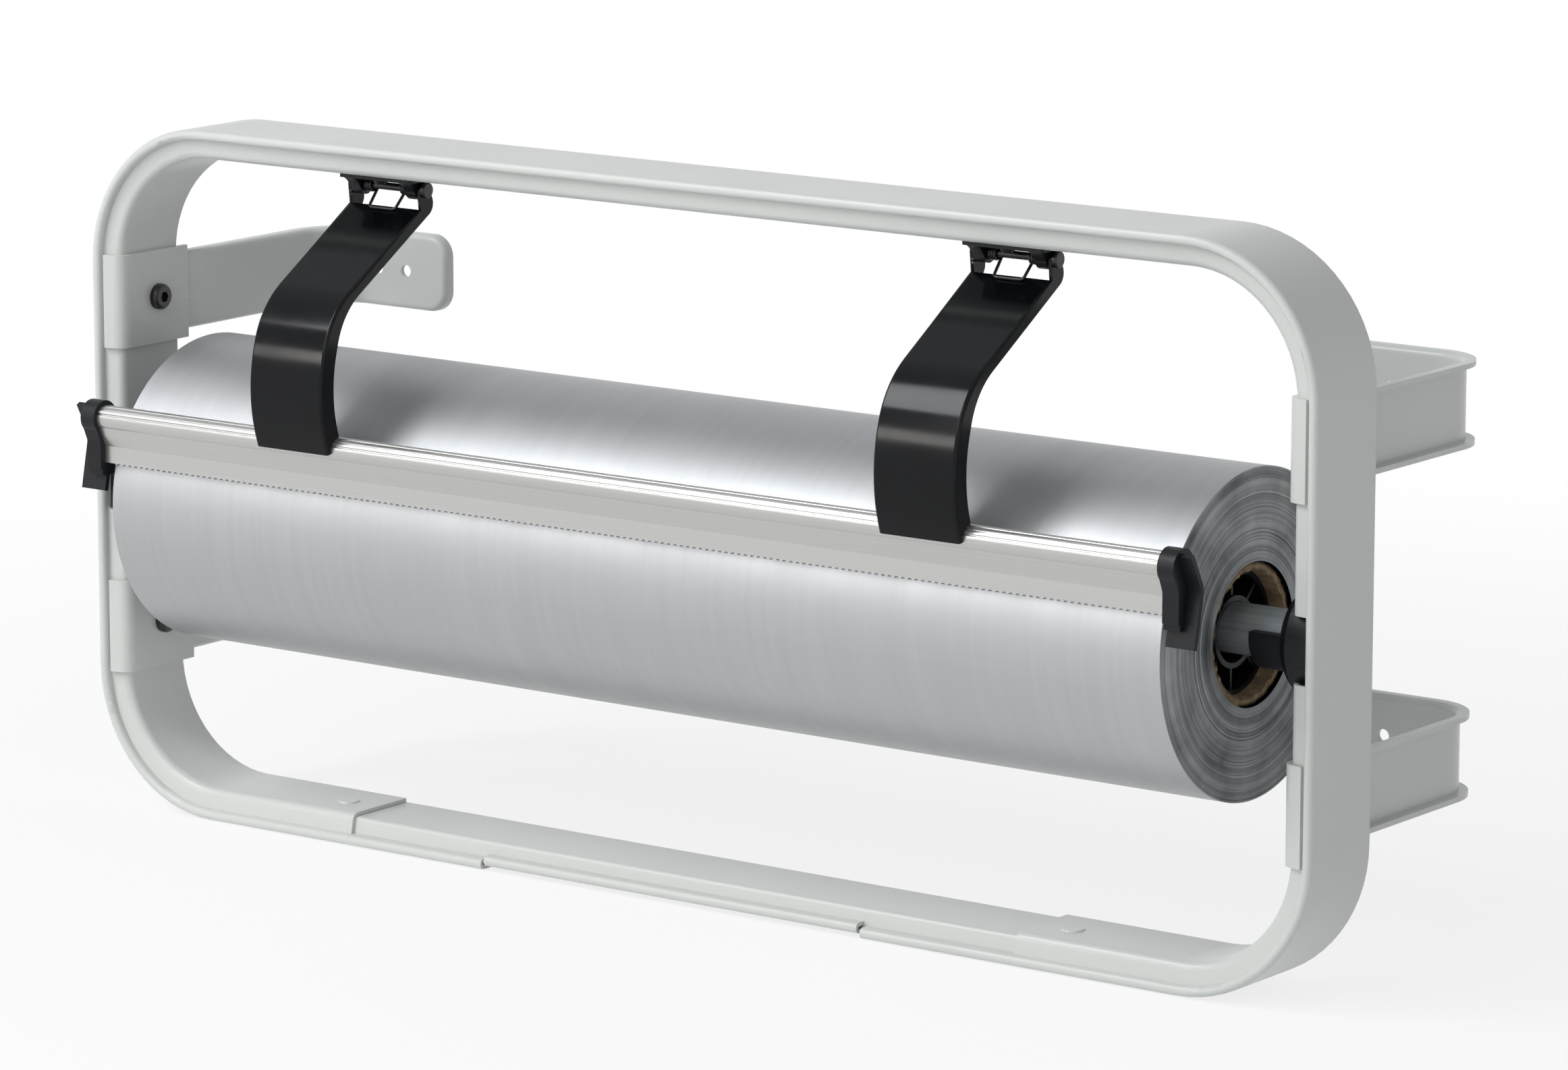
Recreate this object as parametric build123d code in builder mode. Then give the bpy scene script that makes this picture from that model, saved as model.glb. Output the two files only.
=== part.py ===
from build123d import *
import math
import os

os.makedirs("parts", exist_ok=True)

# Wall-mounted roll paper dispenser with a sprung tear bar.
# Sizes are in millimetres. X runs to the right along the roll, Y runs back to the wall, Z is up.
# The origin is the centre of the wall screw pattern, on the back of the bracket tabs' webs.

# ---- hoop: one roll-formed strip bent round into a rounded rectangle ----
frame_width = 584.0
frame_height = 282.0
frame_corner = 58.0  # outside radius of the hoop's four corners
frame_depth = 40.5  # front to back of the flat outer strap
frame_sheet = 1.5
bead_width = 4.2  # rolled bead along the front edge
bead_bend = 1.3
groove_depth = 3.9  # groove floor behind the front plane
groove_bend = 0.9
channel_inset = 12.3  # outline to the inner face of the channel
channel_fall = 1.6  # how far the front wall falls back towards the inner face
channel_bend = 2.75
channel_depth = 38.0  # rear edge of the inner face
stand_off = 141.0  # hoop's front plane to the wall

# ---- splice that joins the strip's two ends in the middle of the bottom rail ----
seam_spacing = 322.0  # between the two ends of the channel
tongue_spacing = 184.0  # between the two ends of the strap and bead
splice_length = 374.0
nest_gap = 0.1
splice_bend = 1.2
rivet_spacing = 352.0
rivet_setback = 20.0
rivet_head = 9.0
rivet_head_height = 0.6
rivet_shank = 4.2
rivet_tail = 6.4
rivet_tail_height = 1.6
rivet_hole_gap = 0.1

# ---- four wall brackets ----
bracket_inset = 74.0  # top and bottom of the hoop to the brackets' middles
bracket_sheet = 2.0
sleeve_height = 38.0
sleeve_gap = 0.15
sleeve_start = 5.2  # outline to the sleeve's front edge, beside the groove
bracket_height = 32.0
bracket_joggle = 0.8  # step from the sleeve out to the bracket's web
flange_reach = 3.5  # flanges beyond the back of the web
bracket_corner = 24.0  # outside radius of the flanges at the bend
bracket_edge = 2.4  # pressed radius from web to flange
gusset_radius = 2.2
gusset_drop = 2.5
tab_hole_inset = 38.0  # sides of the hoop to the outer wall screw holes
tab_hole_pitch = 15.0
tab_hole = 5.2
tab_margin = 21.0  # inner hole to the end of the tab
tab_corner = 9.0

# ---- bracket screws and nuts ----
screw_setback = 24.5
screw_diameter = 6.0
screw_hole_gap = 0.2
screw_head = 10.6
screw_head_height = 3.3
screw_head_round = 1.6
screw_socket = 4.0
screw_socket_depth = 2.0
screw_tip = 1.5  # thread past the nut
nut_flats = 10.0
nut_height = 5.0

# ---- shaft and its two bearings ----
shaft_setback = 26.0
shaft_height = -6.2
shaft_diameter = 19.0
shaft_wall = 1.5
shaft_end_gap = 0.3
bearing_gap = 0.08
bearing_radius = 21.8
bearing_hole_gap = 0.2
bearing_back_radius = 16.8
bearing_back_depth = 4.0
drum_reach = 2.7  # drum past the channel's inner face
dome_height = 6.7
dome_face_radius = 13.3
dome_round = 15.0
trough_reach = 14.0
trough_wall = 3.7
trough_lip = 2.5  # lips above the shaft's axis
notch_height = 25.3
notch_corner = 1.5

# ---- paper roll ----
roll_inset = 42.0  # sides of the hoop to the roll's ends
roll_diameter = 124.0
core_diameter = 54.0
core_wall = 3.5
core_gap = 0.05
plug_recess = 8.0
plug_length = 16.0
plug_wall = 1.8
hub_bore = 23.0
hub_wall = 2.0
hub_hang = 0.3
rib_count = 8
rib_width = 1.3
rib_recess = 1.5

# ---- tear bar: an aluminium extrusion with a toothed steel blade in its slot ----
tear_height = 16.9  # teeth above the roll's axis
blade_gap = 0.3
blade_sheet = 0.8
blade_slot_gap = 0.05
blade_show = 1.1
blade_inset = 1.5  # blade's ends inside the end caps
tooth_pitch = 3.0
tooth_height = 1.2
strip_thickness = 1.7
waist_height = 7.9  # teeth to the foot of the slope
head_height = 19.3  # teeth to the centre of the rounded head
head_radius = 5.0
head_offset = 0.25
slope_wall = 2.0
slot_height = 8.6
lip_thickness = 1.0
lip_height = 4.6
lip_top = 10.2
screw_channel = 2.5
groove_radius = 0.5
groove_first = 108.0
groove_step = 24.0
bar_gap = 3.0  # between the caps' inner ends and the roll's ends

# ---- end caps ----
cap_length = 7.0
cap_wall = 1.8
cap_end = 2.0
cap_gap = 0.1
cap_toe = 5.0  # cap below the strip's lower edge
cap_pad = 1.0
cap_pad_height = 12.0
fin_length = 12.3
fin_thickness = 2.0
fin_bend = 7.0
fin_top = 24.0  # heights from the teeth
fin_waist = 11.0
fin_foot = -10.5
fin_top_back = -2.0  # distances behind the strip's front face
fin_waist_back = 4.7
fin_foot_back = 0.3

# ---- hinges ----
hinge_spacing = 299.0
pin_setback = 17.5
pin_drop = 4.9  # pin's axis under the top rail
pin_diameter = 3.0
pin_gap = 0.05
pin_head = 6.3
pin_head_length = 1.7
pin_head_gap = 0.1
pin_tail = 0.8
block_front = 8.5  # from the hoop's front plane
block_back = 23.5
block_plate = 1.6
plate_corner = 1.5
ear_wall = 5.0
ear_gap = 0.4
ear_radius = 4.0
block_screw_setback = 12.5
block_screw = 4.0
block_screw_gap = 0.2
block_screw_head = 6.4
block_screw_head_height = 1.7
block_nut_flats = 7.0
block_nut_height = 3.2
block_screw_tip = 1.0

# ---- press arms ----
arm_width = 36.6
arm_sheet = 1.5
arm_eye = 3.1
arm_window_y = -2.3  # web's upper edge is placed from the pin
arm_window_z = -7.6
arm_heel = 7.2  # how far the flange's rear line runs on past the web's edge
arm_heel_bend = 5.0
arm_rise = 97.0  # tip to pin, for which the next six sizes hold; they grow and shrink with it
arm_shoulder_y = 2.4  # shoulder and knee are placed from the tip
arm_shoulder_z = 55.3
arm_knee_y = -7.0
arm_knee_z = 20.4
arm_shoulder_bend = 37.5
arm_knee_bend = 64.0
arm_tip_drop = 1.5
arm_bar_gap = 0.12
flange_upper = 4.4
flange_middle = 7.2
flange_lower = 8.3

# ---- torsion springs ----
wire = 1.2
coil_gap = 0.15
coil_turns = 4
coil_centre = 8.9
bail_reach = 2.0  # bail in front of the web's upper edge
bail_half = 6.6
bail_bend = 1.6
spring_tail = 5.5

# ------------------------------------------------------------------ derived places
half_width = frame_width / 2
half_height = frame_height / 2
wall_y = flange_reach
front_y = wall_y - stand_off
half_sheet = frame_sheet / 2
inner_x = half_width - channel_inset  # inner faces of the uprights
inner_z = half_height - channel_inset  # inner faces of the rails

strap_line = half_sheet
crease_line = bead_width - half_sheet
face_line = channel_inset - half_sheet
wall_slope = channel_fall / (face_line - crease_line)
wall_lean = math.hypot(1.0, wall_slope)


def wall_depth(inset, behind=0.0):
    """Depth of the channel's front wall, or of a layer that lies behind it."""
    return groove_depth + wall_slope * (inset - crease_line) + behind * wall_lean


def crossing(a, b, c, near, far):
    """Where the line a-b, moved left by near, meets the line b-c, moved left by far."""
    u = (Vector(*b) - Vector(*a)).normalized()
    v = (Vector(*c) - Vector(*b)).normalized()
    along = (near * u.dot(v) - far) / (u.X * v.Y - u.Y * v.X)
    return (b[0] - u.Y * near + u.X * along, b[1] + u.X * near + u.Y * along)


# ------------------------------------------------------------------ screw and bearing places
shaft_y = front_y + shaft_setback
shaft_z = shaft_height
shaft_radius = shaft_diameter / 2
screw_y = front_y + screw_setback
sleeve_x = inner_x - sleeve_gap - bracket_sheet  # inner face of the bracket's sleeve
pin_y = front_y + pin_setback
pin_z = inner_z - pin_drop
hinge_x = hinge_spacing / 2
rivet_y = front_y + rivet_setback
rivet_x = rivet_spacing / 2
bracket_z = half_height - bracket_inset
outer_hole_x = half_width - tab_hole_inset
inner_hole_x = outer_hole_x - tab_hole_pitch
half_roll = half_width - roll_inset
block_screw_y = front_y + block_screw_setback

# ------------------------------------------------------------------ hoop
with BuildPart() as frame_hoop:
    with BuildLine(Plane.XZ.offset(-front_y)):
        FilletPolyline(
            (-tongue_spacing / 2, -half_height),
            (-half_width, -half_height),
            (-half_width, half_height),
            (half_width, half_height),
            (half_width, -half_height),
            (tongue_spacing / 2, -half_height),
            radius=frame_corner,
        )
    with BuildSketch(
        Plane(origin=(-tongue_spacing / 2, front_y, -half_height), x_dir=(0, 1, 0), z_dir=(1, 0, 0))
    ):
        with BuildLine():
            FilletPolyline(
                (frame_depth, strap_line),
                (half_sheet, strap_line),
                (half_sheet, crease_line),
                (groove_depth, crease_line),
                (wall_depth(face_line), face_line),
                (channel_depth, face_line),
                radius=[bead_bend, bead_bend, groove_bend, channel_bend],
            )
        trace(line_width=frame_sheet)
    sweep()
    # the channel stops at the two seams; only the strap and its bead run on
    with BuildSketch(Plane.XZ.offset(-front_y + 1)):
        with Locations((0, -half_height + bead_width)):
            Rectangle(seam_spacing, 2 * channel_inset, align=(Align.CENTER, Align.MIN))
    extrude(amount=-(frame_depth + 2), mode=Mode.SUBTRACT)
    # round holes for the bearings in both uprights
    with BuildSketch(Plane.YZ.offset(-half_width + bead_width)):
        with Locations((shaft_y, shaft_z)):
            Circle(bearing_radius + bearing_hole_gap)
    extrude(amount=2 * channel_inset, mode=Mode.SUBTRACT)
    with BuildSketch(Plane.YZ.offset(half_width - bead_width)):
        with Locations((shaft_y, shaft_z)):
            Circle(bearing_radius + bearing_hole_gap)
    extrude(amount=-2 * channel_inset, mode=Mode.SUBTRACT)
    # the holes open forward through the channel's front wall
    with BuildSketch(Plane.XZ.offset(-front_y + 1)):
        for side in (-1, 1):
            with Locations((side * (half_width - bead_width - channel_inset / 2), shaft_z)):
                RectangleRounded(channel_inset, notch_height, notch_corner)
            with Locations((side * (inner_x - notch_corner), shaft_z)):
                Rectangle(4 * notch_corner, notch_height)
    extrude(amount=-(1 + channel_inset), mode=Mode.SUBTRACT)
    # screw holes in the channel's inner face
    with BuildSketch(Plane.YZ.offset(-inner_x - frame_sheet - 1)):
        with Locations((screw_y, bracket_z), (screw_y, -bracket_z)):
            Circle(screw_diameter / 2 + screw_hole_gap)
    extrude(amount=2 * (inner_x + frame_sheet + 1), mode=Mode.SUBTRACT)
    with BuildSketch(Plane.XY.offset(inner_z - 1)):
        with Locations((-hinge_x, block_screw_y), (hinge_x, block_screw_y)):
            Circle(block_screw / 2 + block_screw_gap)
    extrude(amount=frame_sheet + 2, mode=Mode.SUBTRACT)
    with BuildSketch(Plane.XY.offset(-inner_z + 1)):
        with Locations((-rivet_x, rivet_y), (rivet_x, rivet_y)):
            Circle(rivet_shank / 2 + rivet_hole_gap)
    extrude(amount=-(frame_sheet + 2), mode=Mode.SUBTRACT)
frame_hoop.part.label = "frame_hoop"
export_step(frame_hoop.part, "parts/frame_hoop.step")

# ------------------------------------------------------------------ splice
nest = frame_sheet + nest_gap
splice_strap = strap_line + nest
splice_face = face_line - nest
splice_crease = splice_strap + crease_line - strap_line
with BuildPart() as frame_splice:
    with BuildSketch(
        Plane(origin=(-splice_length / 2, front_y, -half_height), x_dir=(0, 1, 0), z_dir=(1, 0, 0))
    ):
        with BuildLine():
            FilletPolyline(
                (frame_depth, splice_strap),
                (wall_depth(splice_strap, nest), splice_strap),
                (wall_depth(splice_face, nest), splice_face),
                (channel_depth, splice_face),
                radius=[splice_bend, channel_bend - nest],
            )
        trace(line_width=frame_sheet)
    extrude(amount=splice_length)
    # between the hoop's tongues the splice carries the bead itself
    with BuildSketch(
        Plane(
            origin=(-tongue_spacing / 2 + nest, front_y, -half_height),
            x_dir=(0, 1, 0),
            z_dir=(1, 0, 0),
        )
    ):
        with BuildLine():
            FilletPolyline(
                (2 * channel_bend + groove_depth, splice_strap),
                (half_sheet, splice_strap),
                (half_sheet, splice_crease),
                (wall_depth(splice_crease, nest), splice_crease),
                (wall_depth(splice_face - channel_bend, nest), splice_face - channel_bend),
                radius=[bead_bend, bead_bend, groove_bend],
            )
        trace(line_width=frame_sheet)
    extrude(amount=tongue_spacing - 2 * nest)
    with BuildSketch(Plane.XY.offset(-inner_z)):
        with Locations((-rivet_x, rivet_y), (rivet_x, rivet_y)):
            Circle(rivet_shank / 2 + rivet_hole_gap)
    extrude(amount=-(nest + frame_sheet + 1), mode=Mode.SUBTRACT)
frame_splice.part.label = "frame_splice"
export_step(frame_splice.part, "parts/frame_splice.step")

with BuildPart() as splice_rivets:
    with BuildSketch(Plane.XY.offset(-inner_z)) as rivet_heads:
        with Locations((-rivet_x, rivet_y), (rivet_x, rivet_y)):
            Circle(rivet_head / 2)
    extrude(amount=rivet_head_height, taper=35)
    with BuildSketch(Plane.XY.offset(-inner_z)):
        with Locations((-rivet_x, rivet_y), (rivet_x, rivet_y)):
            Circle(rivet_shank / 2)
    extrude(amount=-(nest + frame_sheet))
    with BuildSketch(Plane.XY.offset(-inner_z - nest - frame_sheet)):
        with Locations((-rivet_x, rivet_y), (rivet_x, rivet_y)):
            Circle(rivet_tail / 2)
    extrude(amount=-rivet_tail_height, taper=20)
splice_rivets.part.label = "splice_rivets"
export_step(splice_rivets.part, "parts/splice_rivets.step")

# ------------------------------------------------------------------ wall brackets
cover = half_sheet + sleeve_gap + bracket_sheet / 2
web_x = sleeve_x + bracket_joggle  # inner face of the bracket's web
tray = bracket_sheet + flange_reach
flange_x = web_x + tray
tab_end_x = inner_hole_x - tab_margin
arm_front_y = front_y + frame_depth + sleeve_gap
inner_bend = bracket_corner - tray


def bracket_band(first, last):
    """Plan outline of the bracket's arm, bend and tab between two distances from the web's inner face."""
    edges = []
    for step in (first, last):
        edges.append(
            FilletPolyline(
                (web_x + step, arm_front_y),
                (web_x + step, step - bracket_sheet),
                (tab_end_x, step - bracket_sheet),
                radius=inner_bend + step,
            )
        )
    Line(edges[0] @ 0, edges[1] @ 0)
    Line(edges[0] @ 1, edges[1] @ 1)


def on_tray_front(edge):
    """True for the edges where the web's front face turns into a flange."""
    middle = edge @ 0.5
    if abs(middle.Z - bracket_z) < bracket_height / 2 - tab_corner - 0.5 and middle.X > tab_end_x + 0.5:
        return False
    if edge.geom_type == GeomType.CIRCLE and abs(edge.radius - inner_bend) < 0.01:
        return True
    on_arm = abs(middle.X - web_x) < 0.01 and edge.length > frame_depth
    on_tab = abs(middle.Y + bracket_sheet) < 0.01
    return on_arm or on_tab


# hollow of the tray, with its own rounded end
with BuildPart() as tray_hollow:
    with BuildSketch(Plane.XY.offset(bracket_z - bracket_height / 2 + bracket_sheet)):
        with BuildLine():
            bracket_band(bracket_sheet, tray)
        make_face()
        with Locations((tab_end_x, -bracket_sheet)):
            Rectangle(bracket_sheet, 4 * tray, align=(Align.MIN, Align.CENTER), mode=Mode.SUBTRACT)
    extrude(amount=bracket_height - 2 * bracket_sheet)
    fillet(tray_hollow.edges().filter_by(Axis.Y).group_by(Axis.X)[0], tab_corner - bracket_sheet)

with BuildPart() as bracket_upper_right:
    # arm, bend and tab: a shallow tray whose rim faces out and back to the wall
    with BuildSketch(Plane.XY.offset(bracket_z - bracket_height / 2)):
        with BuildLine():
            bracket_band(0, tray)
        make_face()
    extrude(amount=bracket_height)
    fillet(bracket_upper_right.edges().filter_by(Axis.Y).group_by(Axis.X)[0], tab_corner)
    fillet(bracket_upper_right.edges().filter_by(on_tray_front), bracket_edge)
    add(tray_hollow.part, mode=Mode.SUBTRACT)
    # sleeve that wraps the channel's front wall and inner face
    with BuildSketch(Plane.XY.offset(bracket_z - sleeve_height / 2)):
        with BuildLine():
            FilletPolyline(
                (half_width - sleeve_start, front_y + wall_depth(sleeve_start, -cover)),
                (
                    half_width - face_line - cover,
                    front_y + wall_depth(face_line + cover, -cover),
                ),
                (half_width - face_line - cover, arm_front_y + bracket_sheet),
                radius=channel_bend + cover,
            )
        trace(line_width=bracket_sheet)
    extrude(amount=sleeve_height)
    # pressed gusset across the step between the sleeve and the arm
    with Locations((web_x + bracket_joggle, arm_front_y + gusset_radius / 2, bracket_z - gusset_drop)):
        Sphere(gusset_radius)
    # hole for the clamping screw, and the two wall screw holes in the tab
    with BuildSketch(Plane.YZ.offset(sleeve_x - 1)):
        with Locations((screw_y, bracket_z)):
            Circle(screw_diameter / 2 + screw_hole_gap)
    extrude(amount=bracket_sheet + 2, mode=Mode.SUBTRACT)
    with BuildSketch(Plane.XZ.offset(-1)):
        with Locations((outer_hole_x, bracket_z), (inner_hole_x, bracket_z)):
            Circle(tab_hole / 2)
    extrude(amount=bracket_sheet + 2, mode=Mode.SUBTRACT)
bracket_upper_right.part.label = "bracket_upper_right"
export_step(bracket_upper_right.part, "parts/bracket_upper_right.step")

with BuildPart() as bracket_upper_left:
    mirror(bracket_upper_right.part, about=Plane.YZ)
bracket_upper_left.part.label = "bracket_upper_left"
export_step(bracket_upper_left.part, "parts/bracket_upper_left.step")

# the lower brackets are the same pressings, carried down by the screw spacing
with BuildPart() as bracket_lower_right:
    add(bracket_upper_right.part.moved(Location((0, 0, -2 * bracket_z))))
bracket_lower_right.part.label = "bracket_lower_right"
export_step(bracket_lower_right.part, "parts/bracket_lower_right.step")

with BuildPart() as bracket_lower_left:
    mirror(bracket_lower_right.part, about=Plane.YZ)
bracket_lower_left.part.label = "bracket_lower_left"
export_step(bracket_lower_left.part, "parts/bracket_lower_left.step")

# ------------------------------------------------------------------ bracket screws and nuts
nut_x = inner_x + frame_sheet
screw_end_x = nut_x + nut_height + screw_tip
screw_places = [(screw_y, bracket_z), (screw_y, -bracket_z)]

with BuildPart() as screws_right:
    with BuildSketch(Plane.YZ.offset(sleeve_x)):
        with Locations(screw_places):
            Circle(screw_head / 2)
    extrude(amount=-screw_head_height)
    fillet(screws_right.faces().sort_by(Axis.X)[:2].edges(), screw_head_round)
    with BuildSketch(Plane.YZ.offset(sleeve_x)):
        with Locations(screw_places):
            Circle(screw_diameter / 2)
    extrude(amount=screw_end_x - sleeve_x)
    with BuildSketch(Plane.YZ.offset(sleeve_x - screw_head_height)):
        with Locations(screw_places):
            RegularPolygon(screw_socket / 2, 6, major_radius=False)
    extrude(amount=screw_socket_depth, mode=Mode.SUBTRACT)

with BuildPart() as bracket_screws:
    add(screws_right.part)
    mirror(screws_right.part, about=Plane.YZ)
bracket_screws.part.label = "bracket_screws"
export_step(bracket_screws.part, "parts/bracket_screws.step")

with BuildPart() as nuts_right:
    with BuildSketch(Plane.YZ.offset(nut_x)):
        with Locations(screw_places):
            RegularPolygon(nut_flats / 2, 6, major_radius=False)
        with Locations(screw_places):
            Circle(screw_diameter / 2, mode=Mode.SUBTRACT)
    extrude(amount=nut_height)

with BuildPart() as bracket_nuts:
    add(nuts_right.part)
    mirror(nuts_right.part, about=Plane.YZ)
bracket_nuts.part.label = "bracket_nuts"
export_step(bracket_nuts.part, "parts/bracket_nuts.step")

# ------------------------------------------------------------------ shaft bearings
shaft_axis = Axis((0, shaft_y, shaft_z), (1, 0, 0))
strap_x = half_width - frame_sheet
drum_x = inner_x - drum_reach
dome_x = drum_x - dome_height
trough_x = dome_x - trough_reach
trough_bore = shaft_radius + bearing_gap

with BuildPart() as bearing_right:
    # drum and domed flange, turned about the shaft's axis
    with BuildSketch(Plane(origin=(0, shaft_y, shaft_z), x_dir=(1, 0, 0), z_dir=(0, -1, 0))):
        with BuildLine():
            Polyline(
                (dome_x, dome_face_radius),
                (dome_x, 0),
                (strap_x, 0),
                (strap_x, bearing_back_radius),
                (strap_x - bearing_back_depth, bearing_back_radius),
                (strap_x - bearing_back_depth, bearing_radius),
                (drum_x, bearing_radius),
            )
            RadiusArc((dome_x, dome_face_radius), (drum_x, bearing_radius), dome_round)
        make_face()
    revolve(axis=shaft_axis)
    # the part inside the channel is cut flush with the channel's rear edge
    with BuildSketch(Plane.XY.offset(shaft_z - bearing_radius - 1)):
        with Locations((inner_x, front_y + channel_depth)):
            Rectangle(2 * channel_inset, bearing_radius, align=(Align.MIN, Align.MIN))
    extrude(amount=2 * bearing_radius + 2, mode=Mode.SUBTRACT)
    # open half-pipe that carries the end of the shaft
    with BuildSketch(Plane.YZ.offset(dome_x)):
        with Locations((shaft_y, shaft_z)):
            Circle(trough_bore + trough_wall)
            Circle(trough_bore, mode=Mode.SUBTRACT)
        with Locations((shaft_y, shaft_z + trough_lip)):
            Rectangle(
                2 * shaft_diameter, shaft_diameter, align=(Align.CENTER, Align.MIN), mode=Mode.SUBTRACT
            )
    extrude(amount=-trough_reach)
bearing_right.part.label = "bearing_right"
export_step(bearing_right.part, "parts/bearing_right.step")

with BuildPart() as bearing_left:
    mirror(bearing_right.part, about=Plane.YZ)
bearing_left.part.label = "bearing_left"
export_step(bearing_left.part, "parts/bearing_left.step")

with BuildPart() as shaft:
    with BuildSketch(Plane.YZ.offset(-dome_x + shaft_end_gap)):
        with Locations((shaft_y, shaft_z)):
            Circle(shaft_radius)
            Circle(shaft_radius - shaft_wall, mode=Mode.SUBTRACT)
    extrude(amount=2 * (dome_x - shaft_end_gap))
shaft.part.label = "shaft"
export_step(shaft.part, "parts/shaft.step")

# ------------------------------------------------------------------ paper roll, core and plugs
roll_y = shaft_y
roll_z = shaft_z - (hub_bore / 2 - shaft_radius) + hub_hang
roll_radius = roll_diameter / 2
core_radius = core_diameter / 2
bore_radius = core_radius - core_wall

with BuildPart() as paper_roll:
    with BuildSketch(Plane.YZ.offset(-half_roll)):
        with Locations((roll_y, roll_z)):
            Circle(roll_radius)
            Circle(core_radius + core_gap, mode=Mode.SUBTRACT)
    extrude(amount=2 * half_roll)
paper_roll.part.label = "paper_roll"
export_step(paper_roll.part, "parts/paper_roll.step")

with BuildPart() as roll_core:
    with BuildSketch(Plane.YZ.offset(-half_roll)):
        with Locations((roll_y, roll_z)):
            Circle(core_radius)
            Circle(bore_radius, mode=Mode.SUBTRACT)
    extrude(amount=2 * half_roll)
roll_core.part.label = "roll_core"
export_step(roll_core.part, "parts/roll_core.step")

plug_x = half_roll - plug_recess
with BuildPart() as core_plug_right:
    with BuildSketch(Plane.YZ.offset(plug_x)):
        with Locations((roll_y, roll_z)):
            Circle(bore_radius - core_gap)
            Circle(bore_radius - core_gap - plug_wall, mode=Mode.SUBTRACT)
            Circle(hub_bore / 2 + hub_wall)
            Circle(hub_bore / 2, mode=Mode.SUBTRACT)
    extrude(amount=-plug_length)
    rib_length = bore_radius - hub_bore / 2 - hub_wall / 2 - plug_wall / 2
    with BuildSketch(Plane.YZ.offset(plug_x - rib_recess)):
        with Locations((roll_y, roll_z)):
            with PolarLocations(hub_bore / 2 + hub_wall / 2 + rib_length / 2, rib_count):
                Rectangle(rib_length, rib_width)
    extrude(amount=-(plug_length - rib_recess))
core_plug_right.part.label = "core_plug_right"
export_step(core_plug_right.part, "parts/core_plug_right.step")

with BuildPart() as core_plug_left:
    mirror(core_plug_right.part, about=Plane.YZ)
core_plug_left.part.label = "core_plug_left"
export_step(core_plug_left.part, "parts/core_plug_left.step")

# ------------------------------------------------------------------ tear bar
teeth_z = roll_z + tear_height
blade_back_y = roll_y - math.sqrt(roll_radius**2 - tear_height**2) - blade_gap
strip_back_y = blade_back_y - blade_sheet - blade_slot_gap
strip_front_y = strip_back_y - strip_thickness
strip_z = teeth_z + blade_show
waist_z = teeth_z + waist_height
head_y = strip_front_y + head_offset
head_z = teeth_z + head_height
lip_back_y = blade_back_y + blade_slot_gap + lip_thickness
lip_top_z = teeth_z + lip_top
lip_foot_z = lip_top_z - lip_height
slot_top_z = teeth_z + slot_height
cap_x = half_roll + bar_gap
bar_x = cap_x + cap_length - cap_end - cap_gap
slope = Vector(head_y - head_radius - strip_front_y, head_z - waist_z).normalized()
wall_y_step = slope_wall / slope.Y


def bar_outline():
    """Outer form of the extrusion: rounded head, slope, front strip and the lip behind the blade."""
    with Locations((head_y, head_z)):
        Circle(head_radius)
    Polygon(
        (head_y - head_radius, head_z),
        (strip_front_y, waist_z),
        (lip_back_y, waist_z),
        (lip_back_y, lip_top_z),
        (strip_front_y + wall_y_step + slope.X / slope.Y * (lip_top_z - waist_z), lip_top_z),
        (head_y - head_radius + wall_y_step, head_z),
        align=None,
    )
    with Locations((strip_front_y, waist_z + 0.01)):
        Rectangle(strip_thickness, waist_z - strip_z + 0.01, align=(Align.MIN, Align.MAX))
    with Locations((strip_front_y, waist_z + 0.01)):
        Rectangle(
            lip_back_y - strip_front_y, waist_z - lip_foot_z + 0.01, align=(Align.MIN, Align.MAX)
        )


with BuildPart() as cutter_bar:
    with BuildSketch(Plane.YZ.offset(-bar_x)):
        bar_outline()
        # slot for the blade, open downwards
        with Locations((strip_back_y, slot_top_z)):
            Rectangle(
                blade_sheet + 2 * blade_slot_gap,
                slot_top_z - teeth_z,
                align=(Align.MIN, Align.MAX),
                mode=Mode.SUBTRACT,
            )
        with Locations((head_y, head_z)):
            Circle(screw_channel, mode=Mode.SUBTRACT)
            for i in range(3):
                with PolarLocations(head_radius, 1, start_angle=groove_first + i * groove_step):
                    Circle(groove_radius, mode=Mode.SUBTRACT)
    extrude(amount=2 * bar_x)
cutter_bar.part.label = "cutter_bar"
export_step(cutter_bar.part, "parts/cutter_bar.step")

# toothed blade: a row of vee teeth along the lower edge of a plain strip
blade_length = 2 * (cap_x - blade_inset)
tooth_count = int(blade_length / tooth_pitch)
blade_foot_z = teeth_z + tooth_height
with BuildPart() as cutting_blade:
    with BuildSketch(Plane.XZ.offset(-(strip_back_y + blade_slot_gap))):
        with Locations((0, blade_foot_z)):
            Rectangle(
                tooth_count * tooth_pitch,
                slot_top_z - blade_slot_gap - blade_foot_z,
                align=(Align.CENTER, Align.MIN),
            )
        with Locations((0, blade_foot_z)):
            with GridLocations(tooth_pitch, 1, tooth_count, 1):
                Polygon((-tooth_pitch / 2, 0), (0, -tooth_height), (tooth_pitch / 2, 0), align=None)
    extrude(amount=-blade_sheet)
cutting_blade.part.label = "cutting_blade"
export_step(cutting_blade.part, "parts/cutting_blade.step")

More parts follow.
